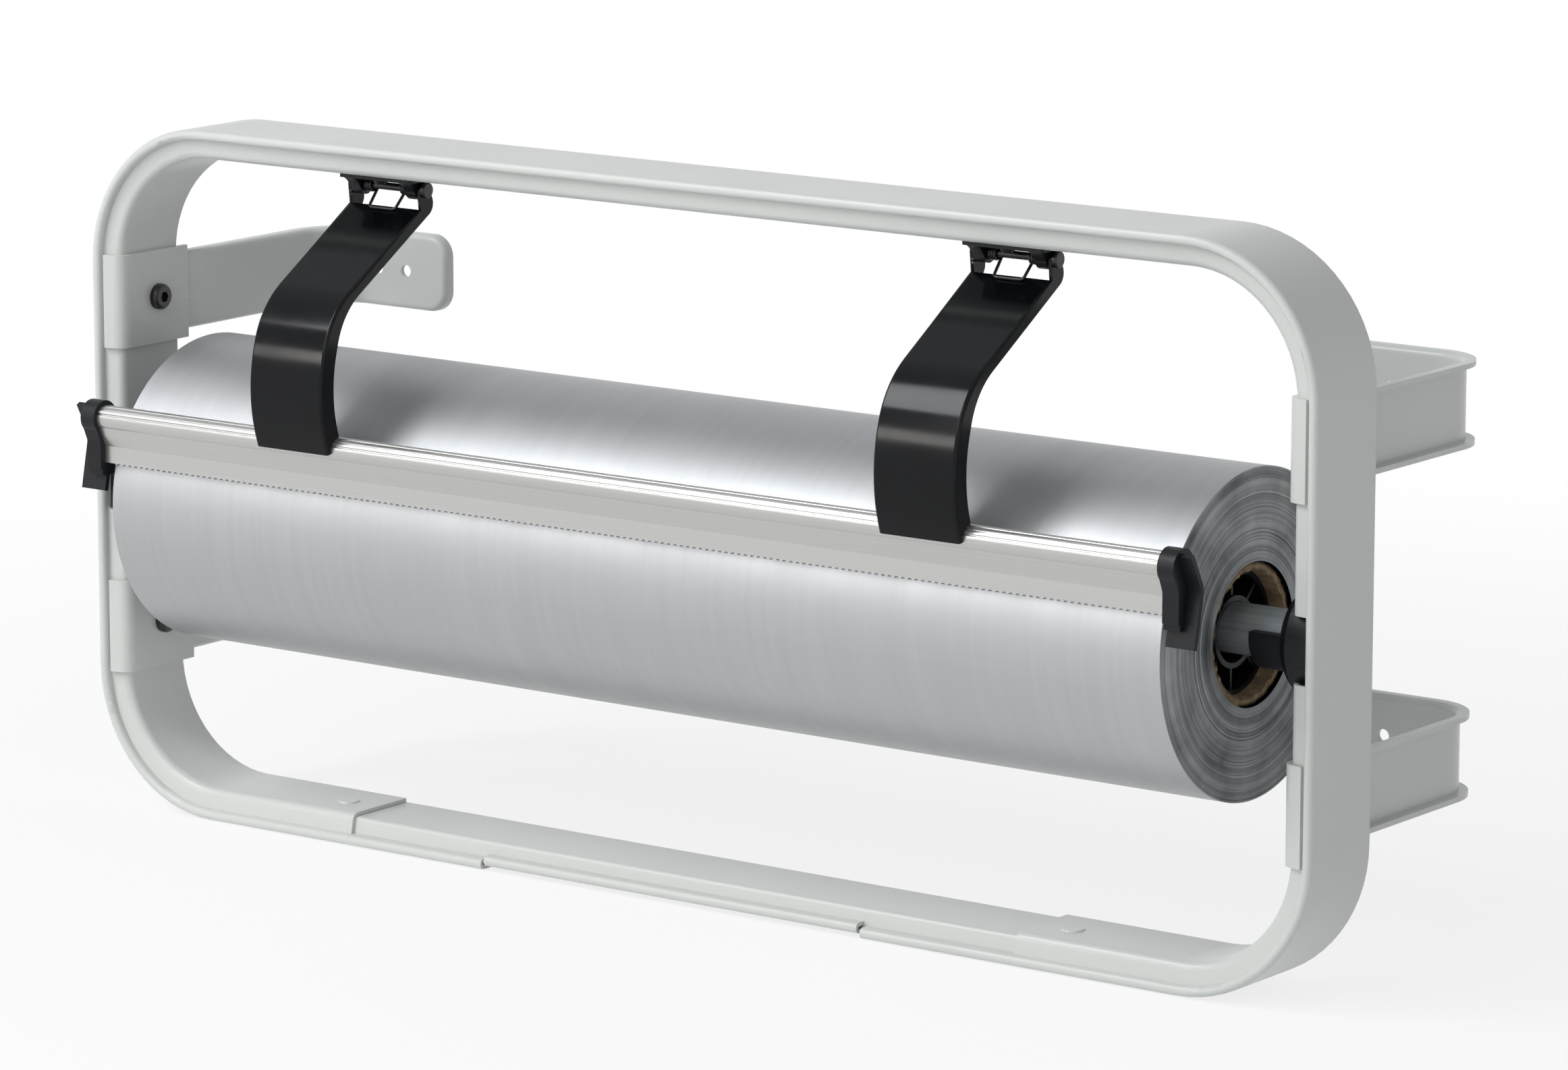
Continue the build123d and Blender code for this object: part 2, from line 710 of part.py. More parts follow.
# ------------------------------------------------------------------ end caps
with BuildPart() as end_cap_right:
    with BuildSketch(Plane.YZ.offset(cap_x)):
        bar_outline()
        offset(amount=cap_wall)
        # toe below the strip, and the raised pad over it
        with Locations((strip_front_y - cap_wall, strip_z - cap_toe)):
            Rectangle(
                lip_back_y - strip_front_y + 2 * cap_wall,
                cap_toe + waist_height,
                align=(Align.MIN, Align.MIN),
            )
        with Locations((strip_front_y - cap_wall - cap_pad, strip_z - cap_toe / 2)):
            Rectangle(2 * cap_pad, cap_pad_height, align=(Align.MIN, Align.MIN))
    extrude(amount=cap_length)
    # guide fin that follows the bar's back
    with BuildSketch(Plane.YZ.offset(cap_x)):
        with BuildLine():
            FilletPolyline(
                (strip_front_y + fin_top_back, teeth_z + fin_top),
                (strip_front_y + fin_waist_back, teeth_z + fin_waist),
                (strip_front_y + fin_foot_back, teeth_z + fin_foot),
                radius=fin_bend,
            )
        trace(line_width=fin_thickness)
    extrude(amount=fin_length)
    # socket for the end of the bar
    with BuildSketch(Plane.YZ.offset(cap_x)):
        bar_outline()
        offset(amount=cap_gap)
        with Locations((strip_front_y - cap_gap, strip_z - cap_gap)):
            Rectangle(
                lip_back_y - strip_front_y + 2 * cap_gap,
                waist_z - strip_z,
                align=(Align.MIN, Align.MIN),
            )
    extrude(amount=cap_length - cap_end, mode=Mode.SUBTRACT)
end_cap_right.part.label = "end_cap_right"
export_step(end_cap_right.part, "parts/end_cap_right.step")

with BuildPart() as end_cap_left:
    mirror(end_cap_right.part, about=Plane.YZ)
end_cap_left.part.label = "end_cap_left"
export_step(end_cap_left.part, "parts/end_cap_left.step")

# ------------------------------------------------------------------ hinge blocks under the top rail
block_width = arm_width - 2 * arm_sheet - 2 * ear_gap
block_front_y = front_y + block_front
block_back_y = front_y + block_back
plate_z = inner_z - block_plate
with BuildPart() as hinge_block_right:
    with BuildSketch(Plane.YZ.offset(hinge_x - block_width / 2)):
        with BuildLine():
            Polyline(
                (pin_y - 0.7 * ear_radius, pin_z - 0.7 * ear_radius),
                (pin_y + 0.7 * ear_radius, pin_z - 0.7 * ear_radius),
                (block_back_y - block_plate, plate_z),
                (block_back_y, plate_z),
                (block_back_y, inner_z),
                (block_front_y, inner_z),
                (block_front_y, plate_z + block_plate / 4),
            )
            RadiusArc(
                (block_front_y, plate_z + block_plate / 4),
                (pin_y - 0.7 * ear_radius, pin_z - 0.7 * ear_radius),
                3 * ear_radius,
            )
        make_face()
        with Locations((pin_y, pin_z)):
            Circle(ear_radius)
        with Locations((0, inner_z)):
            Rectangle(8 * half_width, block_back, align=(Align.CENTER, Align.MIN), mode=Mode.SUBTRACT)
    extrude(amount=block_width)
    # open between the two ears
    with BuildSketch(Plane.YZ.offset(hinge_x - block_width / 2 + ear_wall)):
        with Locations((block_front_y - 1, plate_z)):
            Rectangle(
                block_back - block_front + 2, 4 * ear_radius, align=(Align.MIN, Align.MAX)
            )
    extrude(amount=block_width - 2 * ear_wall, mode=Mode.SUBTRACT)
    # plate that reaches over the arm's flanges
    with BuildSketch(Plane.XY.offset(plate_z)):
        with Locations((hinge_x, (block_front_y + block_back_y) / 2)):
            RectangleRounded(arm_width, block_back - block_front, plate_corner)
    extrude(amount=block_plate)
    with BuildSketch(Plane.YZ.offset(hinge_x - block_width / 2 - 1)):
        with Locations((pin_y, pin_z)):
            Circle(pin_diameter / 2 + pin_gap)
    extrude(amount=block_width + 2, mode=Mode.SUBTRACT)
    with BuildSketch(Plane.XY.offset(plate_z - 1)):
        with Locations((hinge_x, block_screw_y)):
            Circle(block_screw / 2 + block_screw_gap)
    extrude(amount=block_plate + 2, mode=Mode.SUBTRACT)
hinge_block_right.part.label = "hinge_block_right"
export_step(hinge_block_right.part, "parts/hinge_block_right.step")

with BuildPart() as hinge_block_left:
    mirror(hinge_block_right.part, about=Plane.YZ)
hinge_block_left.part.label = "hinge_block_left"
export_step(hinge_block_left.part, "parts/hinge_block_left.step")

block_screw_places = [(-hinge_x, block_screw_y), (hinge_x, block_screw_y)]
block_nut_z = inner_z + frame_sheet
with BuildPart() as hinge_screws:
    with BuildSketch(Plane.XY.offset(plate_z)):
        with Locations(block_screw_places):
            Circle(block_screw_head / 2)
    extrude(amount=-block_screw_head_height, taper=25)
    with BuildSketch(Plane.XY.offset(plate_z)):
        with Locations(block_screw_places):
            Circle(block_screw / 2)
    extrude(amount=block_plate + frame_sheet + block_nut_height + block_screw_tip)
hinge_screws.part.label = "hinge_screws"
export_step(hinge_screws.part, "parts/hinge_screws.step")

with BuildPart() as hinge_nuts:
    with BuildSketch(Plane.XY.offset(block_nut_z)):
        with Locations(block_screw_places):
            RegularPolygon(block_nut_flats / 2, 6, major_radius=False)
        with Locations(block_screw_places):
            Circle(block_screw / 2, mode=Mode.SUBTRACT)
    extrude(amount=block_nut_height)
hinge_nuts.part.label = "hinge_nuts"
export_step(hinge_nuts.part, "parts/hinge_nuts.step")

with BuildPart() as hinge_pin_right:
    with BuildSketch(Plane.YZ.offset(hinge_x - arm_width / 2 - pin_tail)):
        with Locations((pin_y, pin_z)):
            Circle(pin_diameter / 2)
    extrude(amount=arm_width + pin_tail + pin_head_gap)
    with BuildSketch(Plane.YZ.offset(hinge_x + arm_width / 2 + pin_head_gap)):
        with Locations((pin_y, pin_z)):
            Circle(pin_head / 2)
    extrude(amount=pin_head_length)
    fillet(hinge_pin_right.faces().sort_by(Axis.X)[-1].edges(), pin_head_length / 3)
hinge_pin_right.part.label = "hinge_pin_right"
export_step(hinge_pin_right.part, "parts/hinge_pin_right.step")

with BuildPart() as hinge_pin_left:
    add(hinge_pin_right.part.moved(Location((-hinge_spacing, 0, 0))))
hinge_pin_left.part.label = "hinge_pin_left"
export_step(hinge_pin_left.part, "parts/hinge_pin_left.step")

# ------------------------------------------------------------------ press arms
# The web's front surface runs from the pin over a shoulder and a knee to its tip in front of the bar.
tip = (head_y - head_radius - arm_bar_gap - arm_sheet, head_z - arm_tip_drop)
stretch = (pin_z - tip[1]) / arm_rise
knee = (tip[0] + arm_knee_y * stretch, tip[1] + arm_knee_z * stretch)
shoulder = (tip[0] + arm_shoulder_y * stretch, tip[1] + arm_shoulder_z * stretch)
web_top = (pin_y + arm_window_y, pin_z + arm_window_z)
reach = Vector(shoulder[0] - web_top[0], shoulder[1] - web_top[1]).normalized()
arm_bends = [arm_shoulder_bend * stretch, arm_knee_bend * stretch]
heel = (
    web_top[0] - reach.Y * flange_upper - reach.X * arm_heel,
    web_top[1] + reach.X * flange_upper - reach.Y * arm_heel,
)
rear_shoulder = crossing(web_top, shoulder, knee, flange_upper, flange_middle)
rear_knee = crossing(shoulder, knee, tip, flange_middle, flange_lower)
drop = Vector(tip[0] - knee[0], tip[1] - knee[1]).normalized()
rear_tip = (tip[0] - drop.Y * flange_lower, tip[1] + drop.X * flange_lower)

with BuildPart() as press_arm_right:
    # side view of the flanges, with the eye round the pin
    with BuildSketch(Plane.YZ.offset(hinge_x - arm_width / 2)):
        with BuildLine():
            neck = Line((pin_y - arm_eye, pin_z), web_top)
            front_line = FilletPolyline(web_top, shoulder, knee, tip, radius=arm_bends)
            rear_line = FilletPolyline(
                (pin_y + arm_eye, pin_z),
                heel,
                rear_shoulder,
                rear_knee,
                rear_tip,
                radius=[arm_heel_bend, arm_bends[0] - flange_middle, arm_bends[1] - flange_lower],
            )
            Line(neck @ 0, rear_line @ 0)
            Line(front_line @ 1, rear_line @ 1)
        make_face()
        with Locations((pin_y, pin_z)):
            Circle(arm_eye)
        # the flanges stop on top of the bar's head
        with Locations((head_y, head_z)):
            Circle(head_radius + arm_bar_gap, mode=Mode.SUBTRACT)
        with Locations((head_y - head_radius - arm_bar_gap, head_z + head_radius / 2)):
            Rectangle(3 * head_radius, 3 * head_radius, align=(Align.MIN, Align.MAX), mode=Mode.SUBTRACT)
    extrude(amount=arm_width)
    # between the flanges only the web is left, and it starts below the window
    with BuildSketch(Plane.YZ.offset(hinge_x - arm_width / 2 + arm_sheet)):
        with Locations((pin_y, pin_z)):
            Rectangle(4 * arm_shoulder_z, 8 * arm_shoulder_z)
        with BuildLine():
            web_line = FilletPolyline(web_top, shoulder, knee, tip, radius=arm_bends)
            offset(amount=arm_sheet, side=Side.LEFT)
        make_face(mode=Mode.SUBTRACT)
    extrude(amount=arm_width - 2 * arm_sheet, mode=Mode.SUBTRACT)
    with BuildSketch(Plane.YZ.offset(hinge_x - arm_width / 2 - 1)):
        with Locations((pin_y, pin_z)):
            Circle(pin_diameter / 2 + pin_gap)
    extrude(amount=arm_width + 2, mode=Mode.SUBTRACT)
press_arm_right.part.label = "press_arm_right"
export_step(press_arm_right.part, "parts/press_arm_right.step")

with BuildPart() as press_arm_left:
    mirror(press_arm_right.part, about=Plane.YZ)
press_arm_left.part.label = "press_arm_left"
export_step(press_arm_left.part, "parts/press_arm_left.step")

# ------------------------------------------------------------------ torsion springs
coil_inner = pin_diameter / 2 + coil_gap
coil_outer = coil_inner + wire
coil_mean = coil_inner + wire / 2
pin_axis = Axis((0, pin_y, pin_z), (1, 0, 0))
front_side = Vector(reach.Y, -reach.X)  # away from the web's front surface
bail = (
    web_top[0] + reach.X * bail_reach + front_side.X * wire / 2,
    web_top[1] + reach.Y * bail_reach + front_side.Y * wire / 2,
)
# each leg runs from the bail to the coil's lower side, which it meets as a tangent
away = Vector(bail[0] - pin_y, bail[1] - pin_z)
along = coil_mean**2 / away.length
across = coil_mean * math.sqrt(away.length**2 - coil_mean**2) / away.length
away = away.normalized()
leg_start = (pin_y + away.X * along - away.Y * across, pin_z + away.Y * along + away.X * across)
leg = Vector(leg_start[0] - bail[0], leg_start[1] - bail[1])
leg_x = coil_centre - (coil_turns - 1) * wire / 2
with BuildPart() as torsion_spring_right:
    # two coils on the pin, each with its turns as ridges
    with BuildSketch(Plane(origin=(hinge_x, pin_y, pin_z), x_dir=(1, 0, 0), z_dir=(0, -1, 0))):
        for side in (-1, 1):
            with Locations((side * coil_centre, coil_inner)):
                Rectangle(coil_turns * wire, wire / 2, align=(Align.CENTER, Align.MIN))
            with Locations((side * coil_centre, coil_mean)):
                with GridLocations(wire, 1, coil_turns, 1):
                    Polygon(
                        (-wire / 2, -wire / 4),
                        (wire / 2, -wire / 4),
                        (wire / 5, wire / 2),
                        (-wire / 5, wire / 2),
                        align=None,
                    )
    revolve(axis=pin_axis)
    # wire bail that lies on the top of the arm's web
    with BuildLine(
        Plane(origin=(hinge_x, bail[0], bail[1]), x_dir=(1, 0, 0), z_dir=(0, -leg.Y, leg.X))
    ):
        bail_line = FilletPolyline(
            (-leg_x, leg.length),
            (-bail_half, 0),
            (bail_half, 0),
            (leg_x, leg.length),
            radius=bail_bend,
        )
    with BuildSketch(Plane(bail_line @ 0, z_dir=bail_line % 0)):
        Circle(wire / 2)
    sweep()
    # straight ends that lie behind the coils, under the hinge block's plate
    with BuildSketch(Plane.XZ.offset(-pin_y)):
        for side in (-1, 1):
            with Locations((hinge_x + side * (coil_centre + wire), pin_z + coil_mean)):
                Circle(wire / 2)
    extrude(amount=-spring_tail)
torsion_spring_right.part.label = "torsion_spring_right"
export_step(torsion_spring_right.part, "parts/torsion_spring_right.step")

with BuildPart() as torsion_spring_left:
    add(torsion_spring_right.part.moved(Location((-hinge_spacing, 0, 0))))
torsion_spring_left.part.label = "torsion_spring_left"
export_step(torsion_spring_left.part, "parts/torsion_spring_left.step")
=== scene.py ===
# %% [markdown]
# # A wall-mounted wrapping paper dispenser
# The object is a rounded steel hoop that carries a roll of silver wrapping paper. A tear bar on two
# sprung black arms rests against the roll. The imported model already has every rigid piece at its
# real size, so this lesson loads it, gives each piece its real finish, and adds the fine pieces
# that are easier to shape here.

import math
import random

import bmesh
import bpy
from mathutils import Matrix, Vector


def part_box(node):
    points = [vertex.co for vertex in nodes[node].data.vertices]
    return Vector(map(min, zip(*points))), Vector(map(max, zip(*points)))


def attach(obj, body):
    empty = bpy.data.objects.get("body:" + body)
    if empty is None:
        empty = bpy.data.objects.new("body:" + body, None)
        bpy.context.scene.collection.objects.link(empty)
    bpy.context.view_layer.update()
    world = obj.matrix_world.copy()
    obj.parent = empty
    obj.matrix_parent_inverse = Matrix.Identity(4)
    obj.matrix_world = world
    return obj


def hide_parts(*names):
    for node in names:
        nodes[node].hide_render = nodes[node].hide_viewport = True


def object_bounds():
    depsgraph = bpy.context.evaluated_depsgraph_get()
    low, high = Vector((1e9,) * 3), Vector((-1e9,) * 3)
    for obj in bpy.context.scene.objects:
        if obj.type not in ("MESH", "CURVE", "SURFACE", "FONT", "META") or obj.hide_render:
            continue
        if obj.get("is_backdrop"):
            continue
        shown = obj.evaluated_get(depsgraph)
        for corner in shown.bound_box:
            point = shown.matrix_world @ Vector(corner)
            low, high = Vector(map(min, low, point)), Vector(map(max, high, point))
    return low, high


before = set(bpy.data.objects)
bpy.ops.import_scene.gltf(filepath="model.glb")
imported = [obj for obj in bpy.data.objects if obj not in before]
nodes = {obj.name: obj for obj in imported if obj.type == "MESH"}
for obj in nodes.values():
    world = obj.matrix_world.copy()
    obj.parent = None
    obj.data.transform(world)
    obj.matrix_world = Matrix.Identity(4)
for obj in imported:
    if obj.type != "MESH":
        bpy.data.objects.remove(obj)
cad_low, cad_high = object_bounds()
bpy.ops.object.select_all(action="DESELECT")
print("nodes:", len(nodes), "size in mm:", [round(1000 * v, 1) for v in cad_high - cad_low])

# %% [markdown]
# ## Camera
# The photograph was taken from the right and a little above, from about two and a half metres, with
# a long lens. Its place was solved from the frame, the roll and the brackets, so the camera is put
# there directly and turned with the vector from its place to the point that it looks at. A long
# lens keeps the far upright nearly as tall as the near one, which gives the picture its calm look.

# %% Camera
camera_place = Vector((1.5805, -2.2003, 0.5113))
camera_aim = Vector((0.0566, -0.1375, 0.0107))
bpy.ops.object.camera_add(location=camera_place)
camera = bpy.context.object
camera.rotation_euler = (camera_aim - camera_place).to_track_quat("-Z", "Y").to_euler()
camera.data.sensor_width = 36.0
camera.data.lens = 159.1
camera.data.clip_start = 0.1
camera.data.clip_end = 50.0
bpy.context.scene.camera = camera
bpy.context.scene.view_settings.view_transform = "Standard"
print("camera to object in m:", round((camera_aim - camera_place).length, 2))

# %% [markdown]
# ## Where white comes from
# The background of the photograph is pure white. More light on the floor would also burn out the
# object, so the white is a colour and not a lamp: a Light Path node tells which rays come straight
# from the camera or by way of gloss or glass, and only those see a white surface. All other rays
# see an ordinary one, which lights the object at a plain level.


# %% A switch for rays that see white
def combine(tree, operation, first, second):
    """A Math node on two signals; returns its output socket."""
    math_node = tree.nodes.new("ShaderNodeMath")
    math_node.operation = operation
    tree.links.new(first, math_node.inputs[0])
    tree.links.new(second, math_node.inputs[1])
    return math_node.outputs[0]


def white_rays(tree):
    """A value that is 1 for camera, glossy and transmission rays, and 0 for the rest."""
    path = tree.nodes.new("ShaderNodeLightPath")
    seen = combine(tree, "MAXIMUM", path.outputs["Is Camera Ray"], path.outputs["Is Glossy Ray"])
    return combine(tree, "MAXIMUM", seen, path.outputs["Is Transmission Ray"])


# %% [markdown]
# ## World
# The world is white at the horizon. High up it turns to a light grey studio ceiling, which is what
# the black arms and the top of the roll mirror between the lamps. As a light it is a dim, slightly
# cool grey, so that the shapes keep their shading.

# %% World
ambient_strength = 0.37
ceiling_from = 0.16
ceiling_full = 0.50
ceiling_grey = (0.66, 0.67, 0.69, 1.0)

world = bpy.data.worlds.new("studio")
bpy.context.scene.world = world
world.use_nodes = True
tree = world.node_tree
tree.nodes.clear()
ambient = tree.nodes.new("ShaderNodeBackground")
ambient.inputs["Color"].default_value = (0.97, 0.98, 1.0, 1.0)
ambient.inputs["Strength"].default_value = ambient_strength
backdrop = tree.nodes.new("ShaderNodeBackground")
backdrop.inputs["Strength"].default_value = 1.0
coordinates = tree.nodes.new("ShaderNodeTexCoord")
split = tree.nodes.new("ShaderNodeSeparateXYZ")
ceiling = tree.nodes.new("ShaderNodeValToRGB")
ceiling.color_ramp.elements[0].position = ceiling_from
ceiling.color_ramp.elements[0].color = (1.0, 1.0, 1.0, 1.0)
ceiling.color_ramp.elements[1].position = ceiling_full
ceiling.color_ramp.elements[1].color = ceiling_grey
tree.links.new(coordinates.outputs["Generated"], split.inputs[0])
tree.links.new(split.outputs["Z"], ceiling.inputs["Fac"])
tree.links.new(ceiling.outputs["Color"], backdrop.inputs["Color"])
mix = tree.nodes.new("ShaderNodeMixShader")
output = tree.nodes.new("ShaderNodeOutputWorld")
tree.links.new(white_rays(tree), mix.inputs["Fac"])
tree.links.new(ambient.outputs[0], mix.inputs[1])
tree.links.new(backdrop.outputs[0], mix.inputs[2])
tree.links.new(mix.outputs[0], output.inputs["Surface"])

# %% [markdown]
# ## Floor
# The floor is one plain pale plane right under the hoop. Near the object it keeps some of its own
# shading, so that a soft shadow holds the object down. Further out it fades to the same white as
# the world, and no edge shows. The fade follows the distance from the object in Object coordinates.

# %% Floor
floor_size = 60.0
floor_gap = 0.0005
fade_start = 0.30
fade_end = 0.95
least_white = 0.80

bpy.ops.mesh.primitive_plane_add(size=floor_size, location=(0.0, 0.0, cad_low.z - floor_gap))
floor = bpy.context.object
floor.name = "floor"
bpy.ops.object.transform_apply(location=True, rotation=True, scale=True)
floor_paint = bpy.data.materials.new("floor_paint")
floor_paint.use_nodes = True
tree = floor_paint.node_tree
shader = tree.nodes["Principled BSDF"]
shader.inputs["Base Color"].default_value = (0.93, 0.93, 0.93, 1.0)
shader.inputs["Roughness"].default_value = 0.9
shader.inputs["Specular IOR Level"].default_value = 0.1
glow = tree.nodes.new("ShaderNodeEmission")
glow.inputs["Color"].default_value = (1.0, 1.0, 1.0, 1.0)
glow.inputs["Strength"].default_value = 1.0
where = tree.nodes.new("ShaderNodeTexCoord")
reach = tree.nodes.new("ShaderNodeVectorMath")
reach.operation = "LENGTH"
fade = tree.nodes.new("ShaderNodeMapRange")
fade.interpolation_type = "SMOOTHSTEP"
fade.inputs["From Min"].default_value = fade_start
fade.inputs["From Max"].default_value = fade_end
fade.inputs["To Min"].default_value = least_white
fade.inputs["To Max"].default_value = 1.0
blend = tree.nodes.new("ShaderNodeMixShader")
tree.links.new(where.outputs["Object"], reach.inputs[0])
tree.links.new(reach.outputs["Value"], fade.inputs["Value"])
whiteness = combine(tree, "MULTIPLY", fade.outputs["Result"], white_rays(tree))
tree.links.new(whiteness, blend.inputs["Fac"])
tree.links.new(shader.outputs[0], blend.inputs[1])
tree.links.new(glow.outputs[0], blend.inputs[2])
tree.links.new(blend.outputs[0], tree.nodes["Material Output"].inputs["Surface"])
floor.data.materials.append(floor_paint)
floor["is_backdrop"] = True
print("floor at Z in mm:", round(1000 * (cad_low.z - floor_gap), 1))

# %% [markdown]
# ## Lamps
# The real picture has a soft light from the upper left that draws the bright band along the roll, a
# lower one from the front left that makes the thin bar of light on the arms' knees, and a broad one
# from the front that lights the flat faces evenly. Little comes from the right, where the strap
# stays a warm grey. Area lamps do the same: their place sets where a curved surface mirrors them,
# and their size sets how soft the edge of each highlight is.


# %% Lamps
def softbox(name, place, aim, size, power, colour=(1.0, 1.0, 1.0)):
    """A rectangular area lamp that faces a point."""
    bpy.ops.object.light_add(type="AREA", location=place)
    lamp = bpy.context.object
    lamp.name = name
    lamp.rotation_euler = (Vector(aim) - Vector(place)).to_track_quat("-Z", "Y").to_euler()
    lamp.data.shape = "RECTANGLE"
    lamp.data.size, lamp.data.size_y = size
    lamp.data.energy = power
    lamp.data.color = colour
    print(name, "in W:", power, "size in m:", size)


softbox(
    "band_light",
    place=(-0.98, -1.20, 1.42),
    aim=(0.05, -0.13, 0.03),
    size=(0.60, 0.80),
    power=14.5,
    colour=(0.97, 0.985, 1.0),
)
softbox(
    "knee_light",
    place=(-1.42, -2.25, 0.60),
    aim=(0.0, -0.15, 0.05),
    size=(0.90, 0.20),
    power=5.5,
    colour=(1.0, 0.97, 0.93),
)
softbox(
    "front_light",
    place=(-0.3, -2.6, 1.75),
    aim=(0.0, -0.1, 0.0),
    size=(2.80, 1.60),
    power=29.0,
)
softbox(
    "right_light",
    place=(2.3, -0.9, 0.8),
    aim=(0.0, -0.1, 0.0),
    size=(0.80, 0.80),
    power=0.8,
    colour=(1.0, 0.97, 0.92),
)

# %% [markdown]
# ## How the finishes are made
# Each finish is a Principled shader whose colour is varied by a little noise, and mostly its
# roughness and its bump as well. Object coordinates are in metres, so a noise scale of 1000 gives
# grain about a millimetre wide. Stretching the coordinates turns round grain into brushed lines.
# Small helpers keep that short.


# %% Helpers for materials
def finish(name, colour, roughness, metallic=0.0, specular=0.5):
    """A new material with one Principled shader."""
    made = bpy.data.materials.new(name)
    made.use_nodes = True
    shade = made.node_tree.nodes["Principled BSDF"]
    shade.inputs["Base Color"].default_value = (*colour, 1.0)
    shade.inputs["Roughness"].default_value = roughness
    shade.inputs["Metallic"].default_value = metallic
    shade.inputs["Specular IOR Level"].default_value = specular
    return made


def noise(made, scale, stretch=(1.0, 1.0, 1.0), detail=3.0):
    """A noise on Object coordinates, stretched along the axes; returns its output socket."""
    made_tree = made.node_tree
    place = made_tree.nodes.new("ShaderNodeTexCoord")
    mapping = made_tree.nodes.new("ShaderNodeMapping")
    mapping.inputs["Scale"].default_value = stretch
    texture = made_tree.nodes.new("ShaderNodeTexNoise")
    texture.inputs["Scale"].default_value = scale
    texture.inputs["Detail"].default_value = detail
    made_tree.links.new(place.outputs["Object"], mapping.inputs["Vector"])
    made_tree.links.new(mapping.outputs["Vector"], texture.inputs["Vector"])
    return texture.outputs["Fac"]


# A noise seldom leaves the middle of its range, so this part of it is spread over the whole span.
noise_low = 0.3
noise_high = 0.7


def vary_roughness(made, signal, low, high):
    """Lets a signal move the roughness between two values."""
    made_tree = made.node_tree
    span = made_tree.nodes.new("ShaderNodeMapRange")
    span.inputs["From Min"].default_value = noise_low
    span.inputs["From Max"].default_value = noise_high
    span.inputs["To Min"].default_value = low
    span.inputs["To Max"].default_value = high
    made_tree.links.new(signal, span.inputs["Value"])
    shade = made_tree.nodes["Principled BSDF"]
    made_tree.links.new(span.outputs["Result"], shade.inputs["Roughness"])


def tint(made, signal, dark, light, start=noise_low, end=noise_high):
    """Blends the base colour between two colours by a signal."""
    made_tree = made.node_tree
    colours = made_tree.nodes.new("ShaderNodeValToRGB")
    colours.color_ramp.elements[0].position = start
    colours.color_ramp.elements[0].color = (*dark, 1.0)
    colours.color_ramp.elements[1].position = end
    colours.color_ramp.elements[1].color = (*light, 1.0)
    made_tree.links.new(signal, colours.inputs["Fac"])
    shade = made_tree.nodes["Principled BSDF"]
    made_tree.links.new(colours.outputs["Color"], shade.inputs["Base Color"])


def relief(made, signal, depth):
    """Turns a signal into bump of a real depth in metres."""
    made_tree = made.node_tree
    bump = made_tree.nodes.new("ShaderNodeBump")
    bump.inputs["Distance"].default_value = depth
    bump.inputs["Strength"].default_value = 1.0
    made_tree.links.new(signal, bump.inputs["Height"])
    shade = made_tree.nodes["Principled BSDF"]
    made_tree.links.new(bump.outputs["Normal"], shade.inputs["Normal"])


def dress(made, *names):
    """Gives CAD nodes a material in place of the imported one."""
    for name in names:
        skin = nodes[name].data.materials
        skin.clear()
        skin.append(made)
    print(made.name, "on", len(names), "nodes")


# %% [markdown]
# ## Powder-coated frame
# The hoop, its splice and the brackets have one thick light coat, a white with a little green-grey
# in it. Powder flows before it sets, so the gloss is smooth and broad, and only a trace of orange
# peel a few millimetres wide is left. More bump than this looks like cast iron, and finer spots in
# the colour look like dirt on so pale a coat, so the tint drifts slowly over the whole frame.

# %% Frame paint
frame_paint = finish("frame_paint", (0.66, 0.68, 0.655), 0.30, specular=0.38)
slow_drift = noise(frame_paint, 2.5, detail=0.0)
tint(frame_paint, slow_drift, (0.638, 0.662, 0.642), (0.664, 0.684, 0.658))
vary_roughness(frame_paint, noise(frame_paint, 25.0, detail=0.0), 0.285, 0.315)
relief(frame_paint, noise(frame_paint, 150.0, detail=0.0), 0.0000010)
dress(
    frame_paint,
    "frame_hoop",
    "frame_splice",
    "splice_rivets",
    "bracket_upper_right",
    "bracket_upper_left",
    "bracket_lower_right",
    "bracket_lower_left",
)

# %% [markdown]
# ## Black pieces
# Three blacks meet here, and their gloss tells them apart: the arms are pressed steel in a smooth
# glossy coat, the caps, plugs, bearings and hinge blocks are moulded plastic with a fine matte
# grain, and the screws, pins and springs are steel with a thin black oxide.

# %% Arm paint
arm_paint = finish("arm_paint", (0.0028, 0.0032, 0.0042), 0.14, specular=0.20)
tint(arm_paint, noise(arm_paint, 60.0), (0.0022, 0.0026, 0.0034), (0.0036, 0.0042, 0.0054))
vary_roughness(arm_paint, noise(arm_paint, 90.0, detail=1.0), 0.12, 0.16)
relief(arm_paint, noise(arm_paint, 420.0, detail=0.0), 0.0000012)

# %% Moulded plastic
black_plastic = finish("black_plastic", (0.006, 0.007, 0.009), 0.42, specular=0.28)
tint(black_plastic, noise(black_plastic, 90.0), (0.005, 0.006, 0.008), (0.008, 0.009, 0.012))
vary_roughness(black_plastic, noise(black_plastic, 500.0), 0.38, 0.48)
relief(black_plastic, noise(black_plastic, 2600.0), 0.000012)
dress(
    black_plastic,
    "bearing_right",
    "bearing_left",
    "hinge_block_right",
    "hinge_block_left",
    "end_cap_right",
    "end_cap_left",
    "core_plug_right",
    "core_plug_left",
)

# %% Black oxide
black_steel = finish("black_steel", (0.010, 0.010, 0.012), 0.32, specular=0.5)
tint(black_steel, noise(black_steel, 400.0), (0.007, 0.007, 0.009), (0.015, 0.015, 0.017))
vary_roughness(black_steel, noise(black_steel, 900.0), 0.26, 0.40)
relief(black_steel, noise(black_steel, 2600.0), 0.000004)
dress(black_steel, "bracket_screws", "hinge_screws", "hinge_pin_right", "hinge_pin_left")

# %% [markdown]
# ## Bare metals
# The shaft is a zinc-plated tube with a blue-grey cast and drawn lines along it. The tear bar is a
# satin aluminium extrusion, so its fine die lines run along X too. The blade is bright steel.

